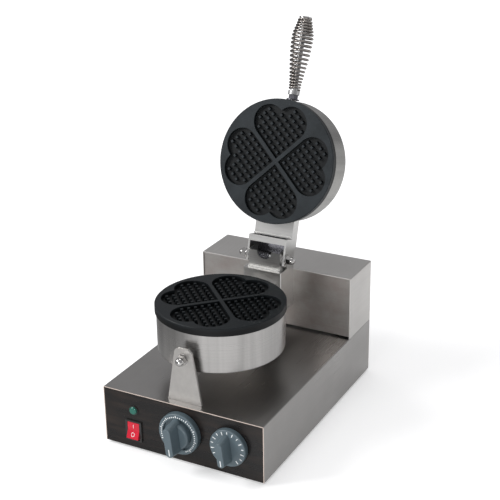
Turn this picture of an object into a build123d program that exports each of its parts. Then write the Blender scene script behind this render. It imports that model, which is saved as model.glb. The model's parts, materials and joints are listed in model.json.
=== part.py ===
"""Heart waffle maker: a bench-top iron with two cast heart plates on a folded steel cabinet.

The lid is drawn open, as it rests. Millimetres, +Z up, the control panel faces -Y.
While it is drawn, y = 0 is the control panel's plane and z = 0 the surface that the feet
stand on. The written pieces are moved along Y so that the origin is the footprint's centre.
"""
from build123d import *

import os
from math import cos, hypot, pi, radians, sin, sqrt

# Cabinet
BASE_W = 250.0            # cabinet width
BASE_D = 360.0            # cabinet depth
BASE_H = 85.0             # cabinet height without its feet
REAR_D = 80.0             # depth of the raised box at the back
REAR_H = 98.0             # height of the raised box
SHEET = 1.2               # folded stainless sheet
FOLD_R = 1.6              # outer radius of a fold
FLANGE = 12.0             # turned-in fixing flange
PANEL_GAP = 0.3           # slack between a panel and the shell round it
FILM = 0.5                # dark film on the control panel
REAR_INSET = 1.7          # raised box's front panel behind the box's edge
REAR_LIFT = 3.0           # dark gap under the raised box's front panel
FOOT_H = 4.0              # rubber feet stand this far below the cabinet
FOOT_R = 12.0             # foot radius
FOOT_IN_X = 17.0          # foot centre from the cabinet's side
FOOT_IN_Y = 27.0          # foot centre from the cabinet's front and back
SLOT_L, SLOT_W = 40.0, 5.0        # air slots in the bottom
LOUVRE_L, LOUVRE_W = 20.0, 3.2    # air slots in the raised box's back
PANEL_SCREW_R = 1.5       # sheet screw shank
POST_SCREW_R = 2.0        # post screw shank
SCREW_SLACK = 0.1         # hole over shank

# Plates and drums
PLATE_R = 92.0            # cast plate radius
PLATE_T = 11.5            # visible rim of a cast plate
PLATE_GAP = 0.6           # gap between the closed plates
PLATE_RISE = 108.4        # lower plate's face above the cabinet's top
SPIGOT_H = 6.0            # part of a plate that sits inside its drum
DRUM_STEP = 2.0           # drum wall inside the plate's rim
DRUM_WALL = 1.2           # steel drum wall
LOWER_DRUM_H = 55.5       # lower drum height under the plate's rim
UPPER_DRUM_H = 41.0       # upper drum height over the plate's rim
HEART_RIM = 7.0           # least width of the plate's rim round the hearts
RIB_W = 5.6               # rib between neighbouring hearts
HEART_DEPTH = 6.0         # depth of a heart's recess
PEG_H = 5.5               # peg height in the recess
PEG_W = 4.6               # peg width at its foot
PEG_TAPER = 6.0           # peg draft in degrees
PEG_PITCH = 9.7           # peg spacing
PEG_EDGE = 6.6            # first peg's centre from the heart's straight sides
HEATER_IN = 34.0          # heater ring inside the plate's edge
HEATER_ROD = 4.0          # heater rod radius
HEATER_GAP = 14.0         # gap between the heater's ends
TERMINAL_H = 16.0         # heater terminal length
TERMINAL_R = 2.0          # heater terminal radius
BULB_R = 3.0              # thermostat bulb radius
BULB_IN = 26.0            # thermostat bulb's ends inside the heater ring
BULB_BACK = 22.0          # thermostat bulb behind the plate's centre
CLAMP_EDGE = 16.0         # clamp plate beyond the heater ring
CLAMP_T = 2.0             # clamp plate thickness
STUD_R = 3.0              # plate screw and earth stud radius
STUD_RING = 30.0          # plate screws lie on this radius
STUD_BITE = 9.0           # plate screw in the casting
FIBRE_SLACK = 1.0         # insulation to the drum's wall
WIRE_R = 6.0              # wire hole radius
SEAT = 0.05               # clearance at a seat

# Hinge and lid arm
M8_R = 4.0                # hinge pin, stay bolt and handle rod radius
HINGE_AHEAD = 23.5        # hinge axis in front of the raised box
ARM_REACH = 141.7         # plates' centre in front of the hinge axis
HINGE_RISE = 12.6         # hinge axis above the lower plate's face
OPEN_ANGLE = 106.5        # lid travel from closed to its open stop
PIN_FIT = 0.06            # running clearance of the lid on the pin
ARM_W = 62.5              # lid arm width over its side plates
ARM_T = 3.0               # lid arm side plate
ARM_SHEET = 2.0           # lid arm web and cover sheet
ARM_END_R = 11.0          # rounded end of the side plates
ARM_FRONT = 6.5           # strap's face above the upper plate's face
ARM_WEB = 24.0            # web above the upper plate's face
ARM_BACK = 42.0           # arm's back above the upper plate's face
ARM_SHOULDER = 18.0       # arm's full height starts this far from the hinge axis
ARM_FLAP = 20.0           # cover's end flap, from the shoulder towards the heels
ARM_LAP = 16.0            # arm laps the upper drum's wall by this much
HEEL_FROM, HEEL_TO = 4.0, 16.0    # heels that land on the post, behind the hinge axis
HEEL_GAP = 0.1            # heel over the post when the lid is at its stop
STRAP_FROM = 20.4         # strap bar from the hinge axis
STRAP_H = 9.0             # strap bar height
WEB_LIP = 3.0             # turned edge of the web next to the strap
ARM_PLAY = 2.25           # bracket to the arm's side plates, for a washer
BRACKET_T = 2.0           # fixed bracket sheet
SPRING_ROOM = 0.3         # torsion spring to the bracket's front sheet
BRACKET_BACK = 18.0       # fixed bracket's ears behind the hinge axis
BRACKET_TOP = 11.0        # fixed bracket's top above the hinge axis
BRACKET_TOE = 3.0         # fixed bracket's foot in front of its face
EAR_R = 6.0               # rounded rear corner of the ears
NOTCH_R = 11.8            # half-round notch in the fixed bracket
POST_INSET = 0.25         # post inside the arm's width on each side
POST_AHEAD = 17.5         # post front in front of the hinge axis
POST_DROP = 3.4           # post top under the lower plate's face
POST_H = 65.0             # post height
POST_T = 2.0              # post sheet
POST_WINDOW = 28.0        # wire window width in the post
ARM_LOW_W = 48.0          # lower arm width
ARM_LOW_H = 34.0          # lower arm height
ARM_LOW_DROP = 9.0        # lower arm under the cast plate's rim
SPRING_SLACK = 0.3        # torsion spring round its sleeve
SPRING_WIRE = 0.95        # torsion spring wire radius
SPRING_TURNS = 6
SPRING_LENGTH = 19.0      # torsion spring coil length
SPRING_X = -3.0           # torsion spring coil centre
SPRING_DROP = 4.2         # bend of the front leg
SPRING_BAR = 13.0         # spring's cross leg in the notch
SLEEVE_WALL = 1.5         # sleeve on the hinge pin
WASHER_RIM = 4.0          # washer beyond its M8 thread
WASHER_T = 1.6            # washer thickness
NUT_WALL = 2.5            # M8 nut's flats beyond its thread
NUT_H = 6.5               # M8 nut height
DOME_WALL = 2.0           # domed nut's cap beyond its thread

# Handle
HANDLE_LEVEL = 34.0       # handle root above the upper plate's face
HANDLE_TILT = 4.5         # handle rises from the lid's plane
HANDLE_INSIDE = 9.0       # rod inside the drum
COIL_FROM = 15.5          # coil start from the drum
COIL_LENGTH = 108.0       # coil length
COIL_TURNS = 20
COIL_WIRE = 1.6           # coil wire radius
COIL_END_R = 7.4          # coil centre-line radius at the drum end
COIL_MID_R = 15.0         # coil centre-line radius at its widest
COIL_TIP_R = 9.6          # coil centre-line radius at the free end
COIL_PEAK = 0.69          # widest place along the coil
COIL_OPENS = 0.25         # turns are this much wider apart at the middle
COLLAR_H = 6.0            # handle collar height
COLLAR_LIP = 1.2          # handle collar beyond the coil's centre line
TIP_H = 2.2               # end piece beyond the coil

# Front stay of the lower drum
STAY_AHEAD = 14.0         # stay's face in front of the drum
STAY_T = 3.0              # stay sheet
STAY_TOP_W = 25.0         # stay width at its top
STAY_FOOT_W = 52.0        # stay width at the cabinet
STAY_BOLT_LIFT = 23.6     # stay bolt above the lower drum's floor
STAY_CROWN = 15.0         # stay above its bolt
STAY_FOOT = 20.0          # stay's foot inside the cabinet
STAY_CORNER = 7.0         # stay's rounded top corners
SPACER_WALL = 3.0         # spacer round the stay's bolt

# Controls
ROCKER_X, ROCKER_Z = -77.0, 27.0
LAMP_X, LAMP_LIFT = -76.0, 32.0   # lamp above the rocker's middle
LAMP_R = 7.0
LAMP_BARREL_R = 5.0       # lamp barrel through the panel
ROCKER_W, ROCKER_L = 18.6, 24.0
ROCKER_AXIS = 2.5         # rocker's pivot behind the panel's face
ROCKER_TILT = 11.0        # rocker's lean from its middle, either way
ROCKER_SLACK = 0.35       # rocker to its frame at the sides
TRUNNION_R, TRUNNION_L = 1.5, 0.9
BEZEL_SIDE, BEZEL_END = 3.7, 3.5  # switch frame round the rocker
BEZEL_T = 2.2
SWITCH_DEPTH = 22.0       # switch body behind the panel
TIMER_X, TIMER_LIFT = 0.0, 3.5    # timer above the panel's middle
TIMER_R, TIMER_T = 30.5, 9.0
TIMER_HUB_R, TIMER_HUB_H = 19.0, 17.0
TIMER_RING_R = 23.7       # inner radius of the timer's scale ring
TIMER_REACH = 36.0        # timer grip from the panel
TIMER_GRIP_W = 13.0       # timer grip width at its foot
THERMO_X, THERMO_LIFT = 75.0, 2.0     # thermostat above the panel's middle
THERMO_R, THERMO_T = 27.0, 8.0
THERMO_REACH = 30.0       # thermostat grip from the panel
THERMO_GRIP_W = 11.5      # thermostat grip width at its foot
DIAL_TURN = 7.0           # dials at rest, from upright
GRIP_RIM = 5.5            # knob skirt beyond the ends of its grip
GRIP_LEAN = 4.0           # each end of a grip leans in by this much towards its face
GRIP_THIN = 0.75          # each side of a grip leans in by this much towards its face
SHAFT_R = 3.0             # control shaft radius
SHAFT_FIT = 0.07          # running clearance of a control shaft
SHAFT_DEPTH = 20.0        # control shaft behind the panel
NOSE_R = 5.0              # threaded nose of a control
KNOB_GAP = 1.0            # knob skirt off the panel
GLAND_IN, GLAND_Z = 55.0, 45.0    # gland from the cabinet's side and bottom edge
GLAND_R, GLAND_REACH = 8.0, 14.0
CORD_R = 4.2              # cord bore in the gland
EARTH_STEP = 40.0         # earth stud beside the gland

# Places worked out from the sizes
TOP_Z = FOOT_H + BASE_H
ROOF_Z = TOP_Z + REAR_H
REAR_Y = BASE_D - REAR_D
REAR_FACE_Y = REAR_Y + REAR_INSET
PANEL_HALF = BASE_W / 2 - SHEET - PANEL_GAP
HINGE_Y = REAR_Y - HINGE_AHEAD
PLATE_Y = HINGE_Y - ARM_REACH
PLATE_Z = TOP_Z + PLATE_RISE
HINGE_Z = PLATE_Z + HINGE_RISE
DRUM_R = PLATE_R - DRUM_STEP
POST_Y = HINGE_Y - POST_AHEAD
POST_TOP_Z = PLATE_Z - POST_DROP
POST_FOOT_Z = POST_TOP_Z - POST_H
STAY_Y = PLATE_Y - DRUM_R - STAY_AHEAD
STAY_BOLT_Z = PLATE_Z - PLATE_T - LOWER_DRUM_H + STAY_BOLT_LIFT
HALF_ARM = ARM_W / 2
HALF_BRACKET = HALF_ARM - ARM_T - ARM_PLAY
POST_W = ARM_W - 2 * POST_INSET
LID_FACE = PLATE_GAP - HINGE_RISE
SLEEVE_R = M8_R + SLEEVE_WALL
SPRING_R = SLEEVE_R + SPRING_SLACK + SPRING_WIRE
BRACKET_FRONT = SPRING_R + SPRING_WIRE + SPRING_ROOM + BRACKET_T
SPRING_LEG = BRACKET_FRONT - BRACKET_T / 2
WASHER_R = M8_R + WASHER_RIM
NUT_FLATS = 2 * (M8_R + NUT_WALL)
DOME_R = M8_R + DOME_WALL
SPACER_R = M8_R + SPACER_WALL
HEATER_R = PLATE_R - HEATER_IN
BULB_L = 2 * (HEATER_R - BULB_IN)
CLAMP_R = HEATER_R + CLAMP_EDGE
LAMP_Z = ROCKER_Z + LAMP_LIFT
TIMER_Z = BASE_H / 2 + TIMER_LIFT
THERMO_Z = BASE_H / 2 + THERMO_LIFT
BEZEL_W = ROCKER_W + 2 * BEZEL_SIDE
BEZEL_L = ROCKER_L + 2 * BEZEL_END
GLAND_X = GLAND_IN - BASE_W / 2
EARTH_X = GLAND_X + EARTH_STEP
HEATER_LEVEL = PLATE_T + SPIGOT_H + HEATER_ROD + SEAT
CLAMP_LEVEL = PLATE_T + SPIGOT_H + 2 * HEATER_ROD + 2 * SEAT


def heart_side():
    """Side of the square in a heart, also its lobes' diameter, for the rim left round it."""
    half_rib, reach = RIB_W / 2, PLATE_R - HEART_RIM
    middle = 3 * half_rib + reach
    return (sqrt(middle ** 2 + 4 * (reach ** 2 - 2 * half_rib ** 2)) - middle) / 2


HEART_SIDE = heart_side()


def block(x0, x1, y0, y1, z0, z1):
    """Box between two corners."""
    middle = ((x0 + x1) / 2, (y0 + y1) / 2, (z0 + z1) / 2)
    return Pos(*middle) * Box(abs(x1 - x0), abs(y1 - y0), abs(z1 - z0))


def disc(radius, z0, z1, x=0.0, y=0.0):
    """Upright cylinder between two heights."""
    return Pos(x, y, (z0 + z1) / 2) * Cylinder(radius, abs(z1 - z0))


def along_x(radius, x0, x1, y, z):
    """Cylinder along X."""
    return Pos((x0 + x1) / 2, y, z) * Rot(Y=90) * Cylinder(radius, abs(x1 - x0))


def along_y(radius, y0, y1, x, z):
    """Cylinder along Y."""
    return Pos(x, (y0 + y1) / 2, z) * Rot(X=90) * Cylinder(radius, abs(y1 - y0))


def joined(pieces):
    """One shape out of a list of shapes."""
    total = pieces[0]
    for piece in pieces[1:]:
        total = total + piece
    return total


def group(pieces):
    """Separate solids in one node."""
    return Compound(children=list(pieces))


def hexagon(flats, height):
    """Hexagonal prism standing on z = 0."""
    return extrude(RegularPolygon(flats / sqrt(3), 6), height)


def acorn_nut():
    """Domed nut standing on z = 0 with its dome upwards."""
    dome = Pos(0, 0, NUT_H + 0.5) * Sphere(DOME_R)
    return hexagon(NUT_FLATS, NUT_H) + (dome & disc(2 * DOME_R, NUT_H - 1, NUT_H + 3 * DOME_R))


def pan_screw(head_r, head_h, shank_r, shank_h):
    """Screw whose head stands on z = 0 and whose shank goes down, with a cross recess."""
    head = disc(head_r, 0, head_h)
    head = fillet(head.edges().group_by(Axis.Z)[-1], 0.4 * head_h)
    recess = block(-0.6 * head_r, 0.6 * head_r, -0.5, 0.5, 0.5 * head_h, 2 * head_h)
    return head + disc(shank_r, -shank_h, 0) - recess - Rot(Z=90) * recess


def spiral_wire(wire_r, points):
    """Round wire wound round Z through the given half turns.

    points holds the signed X and the height at each half turn. Each half turn is half a
    torus whose ends lie in the XZ plane, so that neighbours meet face to face.
    """
    turns = []
    for (xa, za), (xb, zb) in zip(points, points[1:]):
        centre = Vector((xa + xb) / 2, 0, (za + zb) / 2)
        start = Vector(xa, 0, za) - centre
        ahead = Vector(0, 1 if xa > xb else -1, 0)
        plane = Plane(origin=centre, x_dir=start, z_dir=start.cross(ahead))
        turns.append(Solid.make_torus(start.length, wire_r, plane, major_angle=180))
    return turns[0].fuse(*turns[1:])


def half_turns(count, radius_at, height_at):
    """Points of a coil for spiral_wire, from functions of the share of its length."""
    shares = [k / count for k in range(count + 1)]
    return [((-1) ** k * radius_at(share), height_at(share)) for k, share in enumerate(shares)]


def on_lid(shape):
    """Place a piece drawn round the hinge axis with the lid closed at the open rest pose."""
    return Pos(0, HINGE_Y, HINGE_Z) * Rot(X=-OPEN_ANGLE) * shape


def facing_front(shape, x, z):
    """Stand a piece drawn along +Z on the control panel, pointing to the front."""
    return Pos(x, 0, FOOT_H + z) * Rot(X=90) * shape


# Cabinet pieces
def folded_box(y0, z0, z1):
    """Sheet hood from y0 to the back, open to the front and below."""
    outer = block(-BASE_W / 2, BASE_W / 2, y0, BASE_D, z0, z1)
    outer = fillet(outer.edges().filter_by(Axis.Z).group_by(Axis.Y)[-1], FOLD_R)
    outer = fillet(outer.edges().group_by(Axis.Z)[-1].filter_by(Axis.Y), FOLD_R)
    half = BASE_W / 2 - SHEET
    return outer - block(-half, half, y0 - 1, BASE_D - SHEET, z0 - 1, z1 - SHEET)


def side_flanges(y0, y1, z):
    """Turned-in flanges along both sides, standing on height z."""
    edge = BASE_W / 2 - SHEET / 2
    return [block(side * edge, side * (edge - FLANGE), y0, y1, z, z + SHEET) for side in (-1, 1)]


def bottom_screw_places():
    """Screws through the bottom plate into the side flanges."""
    x = PANEL_HALF - FLANGE / 2
    first = FOOT_IN_Y + 2 * FOOT_R
    step = (BASE_D - 2 * first) / 2
    return [(side * x, first + k * step) for side in (-1, 1) for k in range(3)]


def foot_places():
    """Feet near the four corners."""
    x = BASE_W / 2 - FOOT_IN_X
    return [(side * x, y) for side in (-1, 1) for y in (FOOT_IN_Y, BASE_D - FOOT_IN_Y)]


def rear_screw_places():
    """Screws through the raised box's flanges into the cabinet's top."""
    x = PANEL_HALF - FLANGE / 2
    return [(side * x, y) for side in (-1, 1) for y in (REAR_Y + 1.5 * FLANGE, BASE_D - 1.5 * FLANGE)]


def post_screw_places():
    """Screws that hold the post's rear flanges to the raised box's front panel."""
    x = POST_W / 2 - POST_T - FLANGE / 2
    heights = (POST_FOOT_Z + FLANGE, ROOF_Z - 2 * FLANGE)
    return [(side * x, z) for side in (-1, 1) for z in heights]


def base_shell():
    """Top, sides and back of the cabinet in one fold, with turned-in flanges below."""
    flanges = side_flanges(2 * FLANGE, BASE_D - FLANGE, FOOT_H + 2 * SHEET)
    shell = joined([folded_box(0, FOOT_H, TOP_Z)] + flanges)
    half = STAY_FOOT_W / 2 + PANEL_GAP
    y0, y1 = STAY_Y - PANEL_GAP, STAY_Y + STAY_T + PANEL_GAP
    shell -= block(-half, half, y0, y1, TOP_Z - 2 * SHEET, TOP_Z + 1)
    half = POST_W / 2
    shell -= block(-half, half, REAR_Y + FLANGE, BASE_D - FLANGE, TOP_Z - 2 * SHEET, TOP_Z + 1)
    for x, y in rear_screw_places():
        shell -= disc(PANEL_SCREW_R + SCREW_SLACK, TOP_Z - 2 * SHEET, TOP_Z + 1, x, y)
    for x, y in bottom_screw_places():
        shell -= disc(PANEL_SCREW_R + SCREW_SLACK, FOOT_H, FOOT_H + 4 * SHEET, x, y)
    gland = FOOT_H + GLAND_Z
    shell -= along_y(GLAND_R + SCREW_SLACK, BASE_D - 2 * SHEET, BASE_D + 1, GLAND_X, gland)
    return shell - along_y(STUD_R + SCREW_SLACK, BASE_D - 2 * SHEET, BASE_D + 1, EARTH_X, gland)


def switch_body_size():
    """Half width and half height of the switch body behind its frame."""
    return BEZEL_W / 2 - 2.0, BEZEL_L / 2 - 1.2


def control_cuts():
    """Through cuts of the control panel for lamp, switch, timer and thermostat."""
    cuts = [along_y(LAMP_BARREL_R + SCREW_SLACK, -1, 3, LAMP_X, FOOT_H + LAMP_Z)]
    half_w, half_l = (size + SCREW_SLACK for size in switch_body_size())
    z = FOOT_H + ROCKER_Z
    cuts.append(block(ROCKER_X - half_w, ROCKER_X + half_w, -1, 3, z - half_l, z + half_l))
    cuts.append(along_y(NOSE_R + SCREW_SLACK, -1, 3, TIMER_X, FOOT_H + TIMER_Z))
    cuts.append(along_y(NOSE_R + SCREW_SLACK, -1, 3, THERMO_X, FOOT_H + THERMO_Z))
    return joined(cuts)


def front_panel():
    """Control panel plate with return flanges, set inside the shell's front edge."""
    z0, z1 = FOOT_H + PANEL_GAP, TOP_Z - SHEET - PANEL_GAP
    plate = block(-PANEL_HALF, PANEL_HALF, FILM, FILM + SHEET, z0, z1)
    for side in (-1, 1):
        plate += block(side * PANEL_HALF, side * (PANEL_HALF - SHEET), FILM, FILM + FLANGE, z0, z1)
    plate += block(-PANEL_HALF, PANEL_HALF, FILM, FILM + FLANGE, z0, z0 + SHEET)
    return plate - control_cuts()


def front_overlay():
    """Dark film over the whole control panel."""
    film = block(-PANEL_HALF, PANEL_HALF, 0, FILM, FOOT_H + PANEL_GAP, TOP_Z - SHEET - PANEL_GAP)
    return film - control_cuts()


def bottom_plate():
    """Closing plate with air slots and screw holes."""
    z0 = FOOT_H + SHEET
    plate = block(-PANEL_HALF, PANEL_HALF, FLANGE + 1, BASE_D - SHEET - PANEL_GAP, z0, z0 + SHEET)
    slot = extrude(SlotOverall(SLOT_L, SLOT_W, rotation=90), 2 * SHEET, both=True)
    for row in (-1, 1):
        for column in range(-4, 5):
            plate -= Pos(3.2 * SLOT_W * column, BASE_D / 2 + 0.9 * SLOT_L * row, z0) * slot
    for x, y in bottom_screw_places() + foot_places():
        plate -= disc(PANEL_SCREW_R + SCREW_SLACK, z0 - 1, z0 + 2 * SHEET, x, y)
    return plate


def feet():
    """Four rubber feet with a recess for their screws."""
    made = []
    for x, y in foot_places():
        body = Pos(x, y, 0) * loft([Circle(FOOT_R - 2), Pos(0, 0, FOOT_H + SHEET) * Circle(FOOT_R)])
        body -= disc(FOOT_R / 3, -1, FOOT_H / 2, x, y)
        made.append(body - disc(PANEL_SCREW_R + SCREW_SLACK, 0, 2 * FOOT_H, x, y))
    return group(made)


def foot_screws():
    """Screws that hold the feet, their heads inside the recess."""
    screw = pan_screw(0.28 * FOOT_R, 1.5, PANEL_SCREW_R, 8.0)
    return group(Pos(x, y, FOOT_H / 2) * Rot(X=180) * screw for x, y in foot_places())


def bottom_screws():
    """Screws that hold the bottom plate, heads below it."""
    screw = pan_screw(2.9, SHEET, PANEL_SCREW_R, 6.0)
    return group(Pos(x, y, FOOT_H + SHEET) * Rot(X=180) * screw for x, y in bottom_screw_places())


def rear_cover():
    """Raised box at the back, with a notch in its roof for the post and louvres behind."""
    z = TOP_Z
    cover = joined([folded_box(REAR_Y, z, ROOF_Z)] + side_flanges(REAR_Y + FLANGE, BASE_D - FLANGE / 2, z))
    half = POST_W / 2 + PANEL_GAP
    cover -= block(-half, half, REAR_Y - 1, REAR_FACE_Y + SHEET / 2, ROOF_Z - 2 * SHEET, ROOF_Z + 1)
    louvre = Rot(X=90) * extrude(SlotOverall(LOUVRE_L, LOUVRE_W), 2 * SHEET, both=True)
    for row in range(3):
        for column in range(-2, 3):
            cover -= Pos(1.4 * LOUVRE_L * column, BASE_D, ROOF_Z - 24 - 12 * row) * louvre
    for x, y in rear_screw_places():
        cover -= disc(PANEL_SCREW_R + SCREW_SLACK, z - 1, z + 2 * SHEET, x, y)
    return cover


def rear_screws():
    """Screws inside the raised box that hold it to the cabinet."""
    screw = pan_screw(2.9, 1.8, PANEL_SCREW_R, 6.0)
    return group(Pos(x, y, TOP_Z + SHEET) * screw for x, y in rear_screw_places())


def rear_front_panel():
    """Inset front of the raised box, with return flanges and a wire window behind the post."""
    z0, z1 = TOP_Z + REAR_LIFT, ROOF_Z - SHEET - PANEL_GAP
    y0, y1 = REAR_FACE_Y, REAR_FACE_Y + FLANGE
    panel = block(-PANEL_HALF, PANEL_HALF, y0, y0 + SHEET, z0, z1)
    for side in (-1, 1):
        panel += block(side * PANEL_HALF, side * (PANEL_HALF - SHEET), y0, y1, z0, z1)
    panel += block(-PANEL_HALF, PANEL_HALF, y0, y1, z1 - SHEET, z1)
    panel -= wire_window(y0 - 1, y0 + 2 * SHEET)
    for x, z in post_screw_places():
        panel -= along_y(POST_SCREW_R + SCREW_SLACK, y0 - 1, y0 + 2 * SHEET, x, z)
    return panel


def wire_window(y0, y1):
    """Cut for the wires that run from the raised box through the post."""
    half = POST_WINDOW / 2
    return block(-half, half, y0, y1, POST_FOOT_Z + half, ROOF_Z - POST_WINDOW)


# Post, lower arm and fixed hinge
def post():
    """Folded post that carries the hinge bracket and the lower drum's arm."""
    y0, y1, half = POST_Y, REAR_FACE_Y, POST_W / 2
    shape = block(-half, half, y0, y1, POST_FOOT_Z, POST_TOP_Z)
    shape = fillet(shape.edges().filter_by(Axis.Z).group_by(Axis.Y)[0], FOLD_R)
    inside = half - POST_T
    shape -= block(-inside, inside, y0 + POST_T, y1 + 1, POST_FOOT_Z - 1, POST_TOP_Z - POST_T)
    for side in (-1, 1):
        edge = side * (half - POST_T / 2)
        shape += block(edge, edge - side * FLANGE, y1 - POST_T, y1, POST_FOOT_Z, ROOF_Z - FLANGE)
    for x, z in post_screw_places():
        shape -= along_y(POST_SCREW_R + SCREW_SLACK, y1 - 2 * POST_T, y1 + 1, x, z)
    return shape - wire_window(y0 - 1, y0 + 2 * POST_T)


def post_screws():
    """Hex screws from inside the raised box into the post's flanges."""
    screw = hexagon(7.0, 2.8) + disc(POST_SCREW_R, -SHEET - POST_T - 2, 0)
    return group(Pos(x, REAR_FACE_Y + SHEET, z) * Rot(X=-90) * screw for x, z in post_screw_places())


def lower_arm():
    """Channel between the post and the back of the lower drum."""
    half = ARM_LOW_W / 2
    z1 = PLATE_Z - PLATE_T - ARM_LOW_DROP
    z0 = z1 - ARM_LOW_H
    shape = block(-half, half, PLATE_Y, POST_Y, z0, z1)
    inside = half - POST_T
    shape -= block(-inside, inside, PLATE_Y - 1, POST_Y + 1, z0 - 1, z1 - POST_T)
    return shape - disc(DRUM_R + SEAT, z0 - 1, z1 + 1, 0, PLATE_Y)


def hinge_bracket():
    """Fixed hinge bracket: a notched front and two ears that hold the pin."""
    y0, y1 = HINGE_Y - BRACKET_FRONT, HINGE_Y + BRACKET_BACK
    z0, z1 = POST_TOP_Z, HINGE_Z + BRACKET_TOP
    shape = block(-HALF_BRACKET, HALF_BRACKET, y0, y1, z0, z1)
    rear_top = shape.edges().filter_by(Axis.X).group_by(Axis.Z)[-1].sort_by(Axis.Y)[-1]
    shape = fillet(rear_top, EAR_R)
    inside = HALF_BRACKET - BRACKET_T
    shape -= block(-inside, inside, y0 + BRACKET_T, y1 + 1, z0 + BRACKET_T, z1 + 1)
    shape += block(-HALF_BRACKET, HALF_BRACKET, y0 - BRACKET_TOE, y0 + BRACKET_T, z0, z0 + BRACKET_T)
    shape -= along_y(NOTCH_R, y0 - 1, y0 + 2 * BRACKET_T, 0, z1)
    return shape - along_x(M8_R + SEAT, -ARM_W, ARM_W, HINGE_Y, HINGE_Z)


def hinge_pin():
    """Long bolt through the bracket's ears and the lid arm, threaded at both ends."""
    reach = HALF_ARM + 2 * WASHER_T + NUT_H
    return along_x(M8_R, -reach, reach, HINGE_Y, HINGE_Z)


def hinge_nuts():
    """Domed nuts at both ends of the hinge pin."""
    face = HALF_ARM + 0.2 + WASHER_T
    nut = acorn_nut() - disc(M8_R + SEAT, -1, NUT_H + WASHER_T)
    return group(Pos(side * face, HINGE_Y, HINGE_Z) * Rot(Y=90 * side) * nut for side in (-1, 1))


def pin_ring(outer, x0, x1):
    """Ring round the hinge pin."""
    hole = along_x(M8_R + SEAT, min(x0, x1) - 1, max(x0, x1) + 1, HINGE_Y, HINGE_Z)
    return along_x(outer, x0, x1, HINGE_Y, HINGE_Z) - hole


def hinge_washers():
    """Washers inside and outside the lid arm's side plates."""
    made = []
    room = HALF_ARM - ARM_T - HALF_BRACKET
    for side in (-1, 1):
        made.append(pin_ring(WASHER_R, side * HALF_BRACKET, side * (HALF_BRACKET + room - 0.2)))
        outer = HALF_ARM + 0.2
        made.append(pin_ring(WASHER_R, side * outer, side * (outer + WASHER_T)))
    return group(made)


def hinge_sleeve():
    """Sleeve round the pin that centres the torsion spring."""
    half = HALF_BRACKET - BRACKET_T - SEAT
    return pin_ring(SLEEVE_R, -half, half)


def wire_path(radius, points):
    """Wire of straight runs with round corners."""
    runs = []
    for a, b in zip(points, points[1:]):
        a, b = Vector(*a), Vector(*b)
        runs.append(Solid.make_cylinder(radius, (b - a).length, Plane(origin=a, z_dir=b - a)))
    corners = [Pos(*point) * Sphere(radius) for point in points[1:]]
    return joined(runs + corners)


def hinge_spring():
    """Torsion spring round the sleeve, with one leg across the bracket's notch."""
    count = 2 * SPRING_TURNS
    points = half_turns(count, lambda share: SPRING_R, lambda share: SPRING_LENGTH * (share - 0.5))
    coil = Rot(Y=-90) * spiral_wire(SPRING_WIRE, points)
    x = SPRING_LENGTH / 2
    bar = (x - SPRING_BAR, -SPRING_LEG, SPRING_R - SPRING_DROP)
    leg = [(x, 0, SPRING_R), (x, -SPRING_LEG, SPRING_R), (x, -SPRING_LEG, SPRING_R - SPRING_DROP), bar]
    return Pos(SPRING_X, HINGE_Y, HINGE_Z) * (coil + wire_path(SPRING_WIRE, leg))


# Cast plates and what heats them, drawn with the plate's face at z = 0
def peg_places():
    """Peg centres inside a heart, in the frame of its square."""
    steps = range(int(1.5 * HEART_SIDE / PEG_PITCH))
    lobe, half = HEART_SIDE / 2 - PEG_EDGE + 1.2, HEART_SIDE / 2
    places = []
    for p in (PEG_EDGE + i * PEG_PITCH for i in steps):
        for q in (PEG_EDGE + j * PEG_PITCH for j in steps):
            in_square = max(p, q) <= HEART_SIDE
            in_lobe = min(hypot(p - HEART_SIDE, q - half), hypot(p - half, q - HEART_SIDE)) <= lobe
            if in_square or in_lobe:
                places.append((p, q))
    return places


def heart_recess():
    """Recess of one heart with its pegs left standing, its tip near the centre, along +X."""
    side = HEART_SIDE
    outline = Rectangle(side, side, align=(Align.MIN, Align.MIN))
    outline += Pos(side, side / 2) * Circle(side / 2)
    outline += Pos(side / 2, side) * Circle(side / 2)
    recess = extrude(outline, -HEART_DEPTH)
    peg = Pos(0, 0, -HEART_DEPTH) * extrude(Rectangle(PEG_W, PEG_W), PEG_H, taper=PEG_TAPER)
    recess = recess - [Pos(p, q) * peg for p, q in peg_places()]
    return Rot(Z=-45) * Pos(RIB_W / 2, RIB_W / 2) * recess


def stud_places():
    """Screws that draw the drum, the clamp plate and the cast plate together."""
    angles = (radians(90 + 120 * k) for k in range(3))
    return [(STUD_RING * cos(angle), STUD_RING * sin(angle)) for angle in angles]


def cast_plate():
    """Cast plate with four hearts, its face up."""
    plate = chamfer(disc(PLATE_R, -PLATE_T, 0).edges(), 0.8)
    plate += disc(DRUM_R - DRUM_WALL - 0.4, -PLATE_T - SPIGOT_H, -PLATE_T)
    recess = heart_recess()
    for quarter in range(4):
        plate -= Rot(Z=90 * quarter) * recess
    bottom = -PLATE_T - SPIGOT_H
    for x, y in stud_places():
        plate -= disc(STUD_R, bottom - 1, bottom + STUD_BITE, x, y)
    return plate


def plate_heater():
    """Ring heater under the plate, with a terminal at each end."""
    ring = Pos(0, 0, -HEATER_LEVEL) * Torus(HEATER_R, HEATER_ROD)
    half = HEATER_GAP / 2
    ring -= block(0, HEATER_R + 2 * HEATER_ROD, -half, half, -HEATER_LEVEL - 5, -HEATER_LEVEL + 5)
    y = half + 1.2 * TERMINAL_R
    x = sqrt(HEATER_R ** 2 - y ** 2)
    pins = [disc(TERMINAL_R, -HEATER_LEVEL - TERMINAL_H, -HEATER_LEVEL, x, side * y) for side in (-1, 1)]
    return joined([ring] + pins)


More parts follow.
